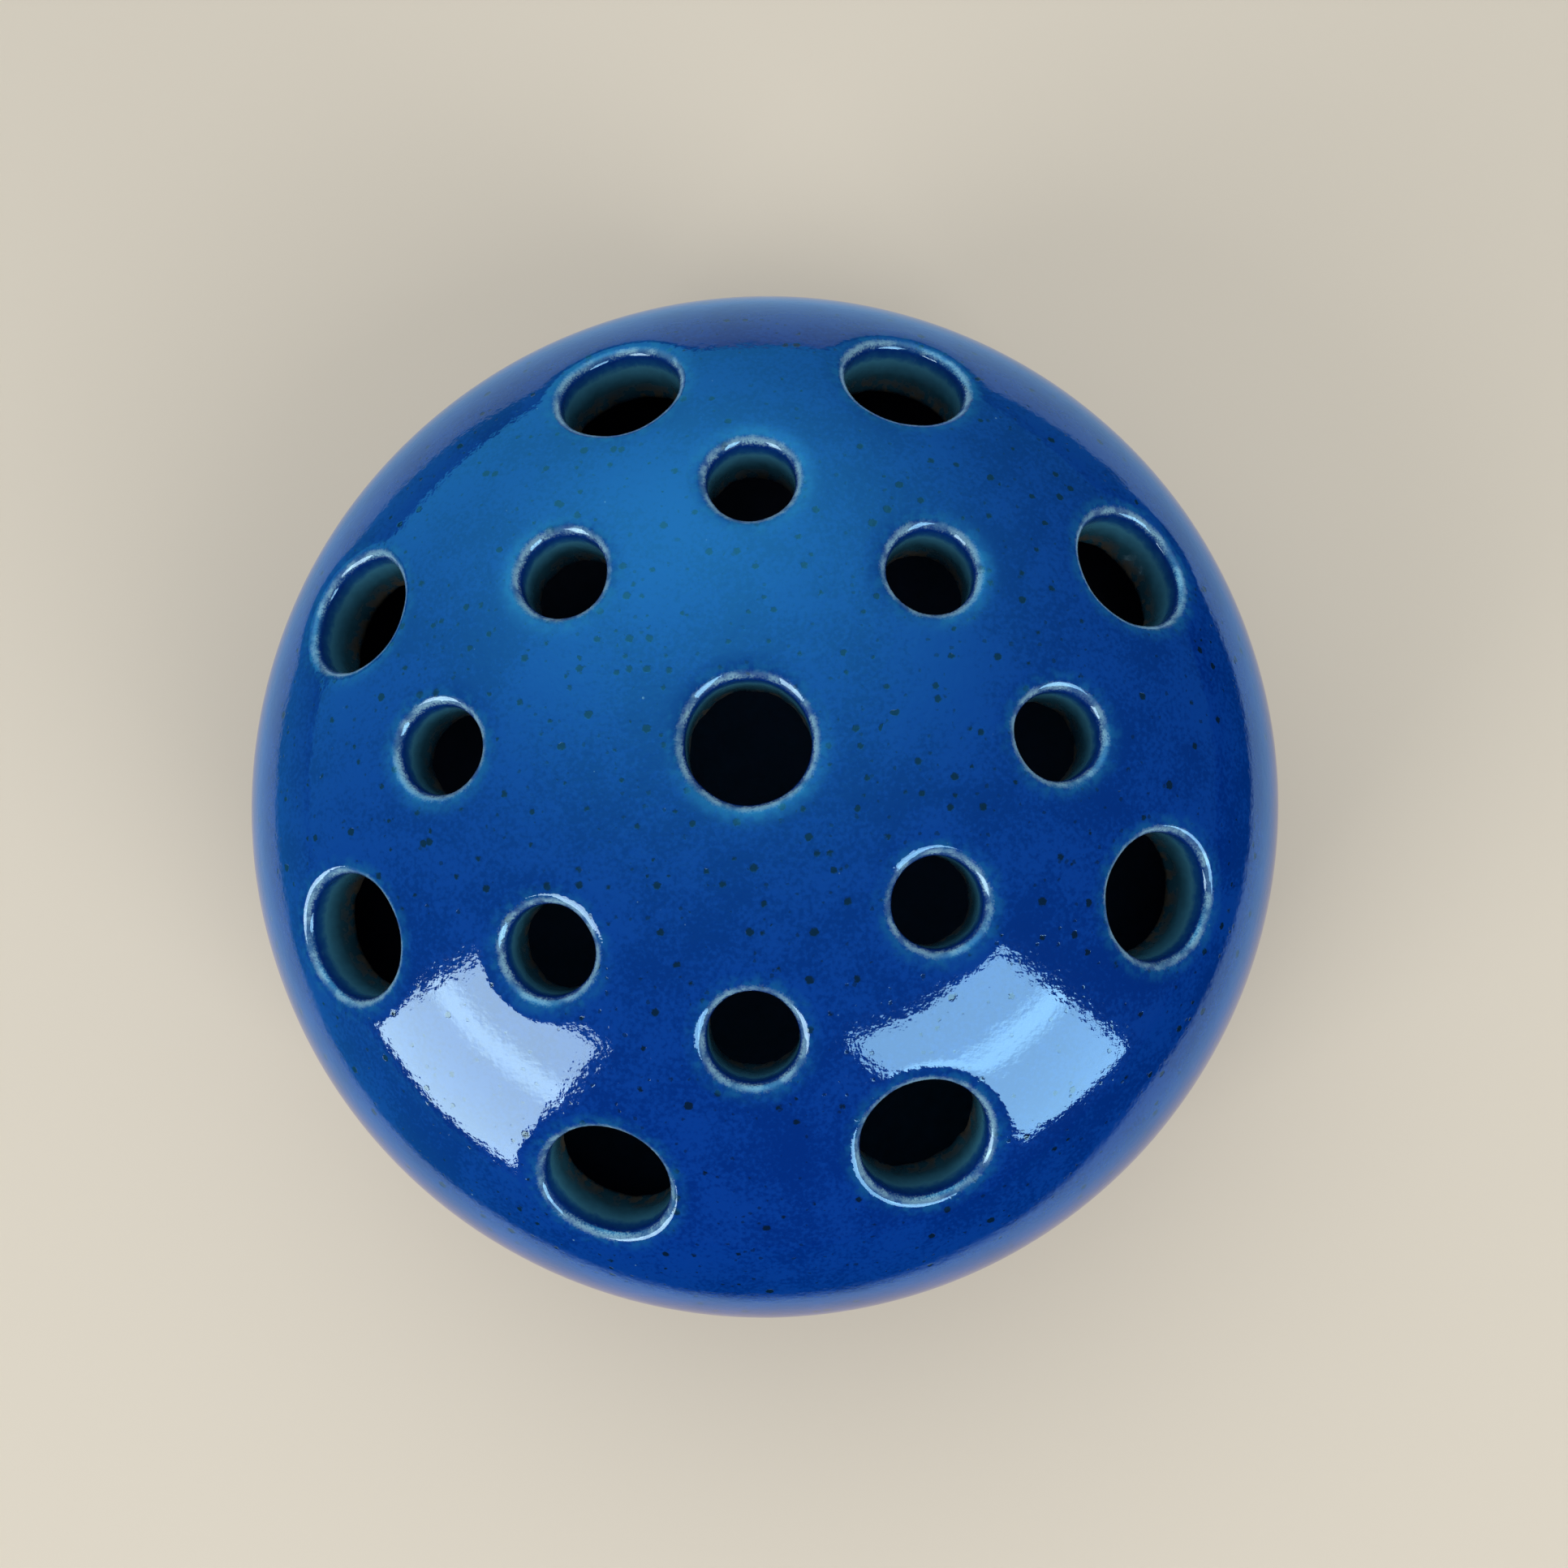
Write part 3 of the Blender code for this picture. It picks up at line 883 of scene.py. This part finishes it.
def glaze_material(name):
    """Cobalt glaze: deep where it lies thick, pale where it breaks over a lip, thin in the bores,
    with painted shade darkening the bores deeper down and the chamber to near black.
    """
    material, tree, shader, place = new_material(name)
    from_lip = add(tree, "Attribute", attribute_name="from_lip").outputs["Fac"]
    from_chamber = add(tree, "Attribute", attribute_name="from_chamber").outputs["Fac"]
    colour, iron, bare = glaze_colour(tree, place, from_lip, from_chamber)
    tree.links.new(colour, shader.inputs["Base Color"])

    rough = remap(tree, from_lip, -0.8, -3.5, 0.05, 0.22)
    rough = math_node(tree, "MULTIPLY_ADD", bare, 0.35, rough)
    rough = math_node(tree, "MULTIPLY_ADD", remap(tree, from_chamber, 0.2, -1.0), 0.2, rough)
    tree.links.new(rough, shader.inputs["Roughness"])
    shader.inputs["IOR"].default_value = 1.52

    peel = lumps(tree, place, PEEL_SIZE, 2.0)
    swell = lumps(tree, place, SWELL_SIZE, 1.0)
    height = math_node(tree, "MULTIPLY_ADD", swell, 1.3, peel)
    height = math_node(tree, "MULTIPLY_ADD", iron, -0.4, height)
    give_bump(tree, shader, height, PEEL_DEPTH)
    return material


def painted_shade_material():
    """Painted shade for the inside of the chamber: a glaze colour that is almost black, and hardly
    shiny.
    """
    material, tree, shader, place = new_material("chamber_painted_shade_glaze")
    patches = remap(tree, lumps(tree, place, 6.0 * MM, 3.0), 0.3, 0.7)
    tree.links.new(mix(tree, patches, *CHAMBER_SHADE_NAVY), shader.inputs["Base Color"])
    grit = lumps(tree, place, 1.0 * MM, 2.0)
    tree.links.new(remap(tree, grit, 0.3, 0.7, 0.40, 0.55), shader.inputs["Roughness"])
    shader.inputs["Specular IOR Level"].default_value = 0.12
    give_bump(tree, shader, grit, 0.02 * MM)
    return material


def stoneware_material():
    """Buff fired clay with iron specks and a fine tooth."""
    material, tree, shader, place = new_material("stoneware_clay")
    slow = lumps(tree, place, 14.0 * MM, 4.0)
    colour = mix(tree, remap(tree, slow, 0.3, 0.7), CLAY_DARK, CLAY_LIGHT)
    grit = lumps(tree, place, 0.7 * MM, 3.0)
    colour = mix(tree, remap(tree, grit, 0.56, 0.75, 0.0, 0.5), colour, CLAY_GRIT)
    colour = mix(tree, speckle(tree, place, 1.6 * MM, 0.25, 0.14), colour, CLAY_SPECK)
    tree.links.new(colour, shader.inputs["Base Color"])
    tree.links.new(remap(tree, grit, 0.3, 0.7, 0.62, 0.82), shader.inputs["Roughness"])
    give_bump(tree, shader, grit, 0.08 * MM)
    return material


# ---------------------------------------------------------------- stage


# The floor is plain and pale. What the glaze mirrors of it is set apart, as in a real room: a table
# that ends a little way off, with one corner cut, bluer far from the pot than near it, and the dim
# room beyond.
FLOOR_SIZE = 6.0
FLOOR_DROP = 0.02 * MM
FLOOR_PALE = (0.525, 0.485, 0.415)
TABLE_LOW = (-0.20, -0.132)
TABLE_HIGH = (0.185, 2.0)
TABLE_CORNER = -0.22
TABLE_SOFT = 0.015
TABLE_NEAR = (0.46, 0.42, 0.41)
TABLE_FAR = (0.30, 0.56, 0.82)
FAR_FROM, FAR_TO = 0.08, 0.13
ROOM_DARK = (0.0, 0.05, 0.07)
ROOM_TEAL = (0.03, 0.30, 0.52)
TEAL_SIDE = (-0.75, 0.65, 0.0)


def table_mask(tree, place):
    """1 on the stretch of floor that the glaze mirrors as a table, and 0 outside it."""
    x, y, _ = add(tree, "SeparateXYZ", {0: place}).outputs
    mask = 1.0
    for along, way, end in (
        (x, 1.0, TABLE_LOW[0]),
        (x, -1.0, TABLE_HIGH[0]),
        (y, 1.0, TABLE_LOW[1]),
        (y, -1.0, TABLE_HIGH[1]),
        (math_node(tree, "ADD", x, y), 1.0, TABLE_CORNER),
    ):
        past = math_node(tree, "MULTIPLY_ADD", along, way, -way * end)
        mask = math_node(tree, "MULTIPLY", remap(tree, past, -TABLE_SOFT, TABLE_SOFT), mask)
    return mask


def make_floor():
    bpy.ops.mesh.primitive_plane_add(size=FLOOR_SIZE, location=(0.0, 0.0, -FLOOR_DROP))
    floor = bpy.context.object
    floor.name = "studio_floor"
    material, tree, shader, place = new_material("pale_floor")
    off = add(tree, "VectorMath", {0: place}, operation="LENGTH").outputs["Value"]
    table = mix(tree, remap(tree, off, FAR_FROM, FAR_TO), TABLE_NEAR, TABLE_FAR)
    way = add(tree, "VectorMath", {0: place}, operation="NORMALIZE").outputs[0]
    side = remap(tree, dot(tree, way, TEAL_SIDE), -0.5, 0.6)
    room = mix(tree, side, ROOM_DARK, ROOM_TEAL)
    mirror = mix(tree, table_mask(tree, place), room, table)
    mirrored = add(tree, "LightPath").outputs["Is Glossy Ray"]
    tree.links.new(mix(tree, mirrored, FLOOR_PALE, mirror), shader.inputs["Base Color"])
    shader.inputs["Roughness"].default_value = 0.8
    shader.inputs["Specular IOR Level"].default_value = 0.0
    floor.data.materials.append(material)


def direction(azimuth, elevation):
    turn, lift = math.radians(azimuth), math.radians(elevation)
    return Vector((math.cos(lift) * math.cos(turn), math.cos(lift) * math.sin(turn), math.sin(lift)))


# Light panels. Their light on the pot is whiter and weaker than what the glaze mirrors of them.
PANEL_DISTANCE = 1.5
PANEL_STEPS = 12
PANEL_WHITE = (1.0, 0.98, 0.95)
PANEL_SHARE = 0.33
STREAK_REACH, STREAK_CORE = 0.12, 0.02


def panel_grid(corners):
    """Points and quads of a curved panel, and how far up the panel each point is, from 0 to 1."""
    lower_left, lower_right, upper_right, upper_left = (np.array(spot) for spot in corners)
    middle = Vector((0.0, 0.0, (CAD_BOX[1].z - CAD_BOX[0].z) / 2))
    points, heights = [], []
    for row in range(PANEL_STEPS + 1):
        up = row / PANEL_STEPS
        left = lower_left + (upper_left - lower_left) * up
        right = lower_right + (upper_right - lower_right) * up
        for column in range(PANEL_STEPS + 1):
            spot = left + (right - left) * column / PANEL_STEPS
            points.append(middle + direction(*spot) * PANEL_DISTANCE)
            heights.append(up)
    wide = PANEL_STEPS + 1
    starts = [row * wide + k for row in range(PANEL_STEPS) for k in range(PANEL_STEPS)]
    faces = [(k, k + 1, k + wide + 1, k + wide) for k in starts]
    return points, faces, heights


def panel_material(name, colour, strength, streak_at, streak_gain):
    material = bpy.data.materials.new(name)
    material.use_nodes = True
    tree = material.node_tree
    tree.nodes.clear()
    up = add(tree, "Attribute", attribute_name="up").outputs["Fac"]
    away = math_node(tree, "ABSOLUTE", math_node(tree, "SUBTRACT", up, streak_at))
    power = remap(tree, away, STREAK_REACH, STREAK_CORE, strength, strength * streak_gain)
    mirrored = add(tree, "LightPath").outputs["Is Glossy Ray"]
    share = math_node(tree, "MULTIPLY_ADD", mirrored, 1.0 - PANEL_SHARE, PANEL_SHARE)
    power = math_node(tree, "MULTIPLY", power, share)
    tint = mix(tree, mirrored, PANEL_WHITE, colour)
    glow = add(tree, "Emission", {"Color": tint, "Strength": power})
    add(tree, "OutputMaterial", {"Surface": glow.outputs[0]})
    return material


def make_panel(name, corners, **look):
    """A curved light panel. Its corners are (azimuth, elevation) as seen from the pot's middle:
    lower left, lower right, upper right and upper left. A soft bright streak crosses it."""
    points, faces, heights = panel_grid(corners)
    mesh = bpy.data.meshes.new(name)
    mesh.from_pydata(points, [], faces)
    attribute = mesh.attributes.new("up", "FLOAT", "POINT")
    attribute.data.foreach_set("value", np.array(heights, np.float32))
    mesh.materials.append(panel_material(name, **look))
    panel = bpy.data.objects.new(name, mesh)
    bpy.context.scene.collection.objects.link(panel)
    panel.visible_camera = False


# The sky that the glaze mirrors: soft patches as (azimuth, elevation, width, gain), tinted blue. Its
# light on the pot and the floor is white, with only a share of the patches in it.
SKY_BASE = 0.12
SKY_LOBES = (
    (106.0, 52.0, 28.0, 2.6),
    (107.0, 45.0, 65.0, 0.65),
    (130.0, 5.0, 45.0, 1.0),
)
SKY_TINT = (0.08, 0.82, 1.45)
SKY_WHITE = (0.97, 0.99, 1.0)
WHITE_BASE = 0.50
WHITE_SHARE = 0.35
BACKDROP = (0.52, 0.51, 0.48)


def sky_lobe(tree, way, azimuth, elevation, width, gain):
    """A soft round patch of light, as bright as gain in its middle. Width is in degrees."""
    facing = dot(tree, way, direction(azimuth, elevation))
    off = math_node(tree, "ARCCOSINE", math_node(tree, "MULTIPLY", facing, 0.99999))
    share = math_node(tree, "DIVIDE", off, math.radians(width))
    fall = math_node(tree, "MULTIPLY", math_node(tree, "MULTIPLY", share, share), -1.0)
    return math_node(tree, "MULTIPLY", math_node(tree, "EXPONENT", fall), gain)


def make_world():
    """Soft white light, strongest from behind the pot, a bluer sky for the glaze to mirror, and a
    plain backdrop for the camera."""
    world = bpy.data.worlds.new("studio")
    bpy.context.scene.world = world
    world.use_nodes = True
    tree = world.node_tree
    tree.nodes.clear()
    way = add(tree, "TexCoord").outputs["Generated"]
    lobes = SKY_BASE
    for lobe in SKY_LOBES:
        lobes = math_node(tree, "ADD", sky_lobe(tree, way, *lobe), lobes)
    white = math_node(tree, "MULTIPLY_ADD", lobes, WHITE_SHARE, WHITE_BASE)
    path = add(tree, "LightPath")
    soft = add(tree, "Background", {"Color": (*SKY_WHITE, 1.0), "Strength": white})
    blue = add(tree, "Background", {"Color": (*SKY_TINT, 1.0), "Strength": lobes})
    backdrop = add(tree, "Background", {"Color": (*BACKDROP, 1.0), "Strength": 1.0})
    shown = soft
    for ray, background in (("Is Glossy Ray", blue), ("Is Camera Ray", backdrop)):
        inputs = {0: path.outputs[ray], 1: shown.outputs[0], 2: background.outputs[0]}
        shown = add(tree, "MixShader", inputs)
    add(tree, "OutputWorld", {"Surface": shown.outputs[0]})


def make_lights():
    make_panel(
        "left_panel",
        [(-154.0, 2.5), (-127.0, 2.5), (-126.0, 47.5), (-154.0, 43.0)],
        colour=(0.35, 0.53, 0.64),
        strength=19.0,
        streak_at=0.66,
        streak_gain=1.4,
    )
    make_panel(
        "right_panel",
        [(-51.0, 8.0), (-33.0, 3.5), (-31.0, 52.0), (-71.0, 56.0)],
        colour=(0.25, 0.53, 0.76),
        strength=16.5,
        streak_at=0.62,
        streak_gain=1.55,
    )


EYE = Vector((8.81, -30.06, 245.5)) * MM
AIM = Vector((2.69, 1.67, 34.0)) * MM
LENS = 36.06
CLIP = (0.01, 20.0)


def make_camera():
    data = bpy.data.cameras.new("camera")
    data.sensor_width = 36.0
    data.lens = LENS
    data.clip_start, data.clip_end = CLIP
    camera = bpy.data.objects.new("camera", data)
    bpy.context.scene.collection.objects.link(camera)
    back = (EYE - AIM).normalized()
    right = Vector((0.0, 1.0, 0.0)).cross(back).normalized()
    up = back.cross(right)
    turn = Matrix((right, up, back)).transposed()
    camera.matrix_world = Matrix.Translation(EYE) @ turn.to_4x4()
    bpy.context.scene.camera = camera


# ---------------------------------------------------------------- scene


def main():
    make_camera()
    skin = make_skin()
    coat = glaze_coat("cobalt_glaze_coat", skin, DOME, glaze_material("cobalt_glaze_coat"))
    thin_glaze = glaze_material("chamber_glaze_liner")
    # The liner's faces inside the chamber take the painted shade material.
    liner = glaze_coat("chamber_glaze_liner", skin, LINER, thin_glaze, painted_shade_material())
    body = clay_body("thrown_clay_body", skin, stoneware_material())
    for piece, node, slot in (
        (coat, "outer_glaze", "cobalt_glaze"),
        (liner, "liner_glaze", "liner_glaze"),
        (body, "stoneware_body", "stoneware"),
    ):
        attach(piece, "root")
        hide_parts(node)
    make_floor()
    make_lights()
    make_world()
    bpy.context.scene.view_settings.view_transform = "Standard"


main()
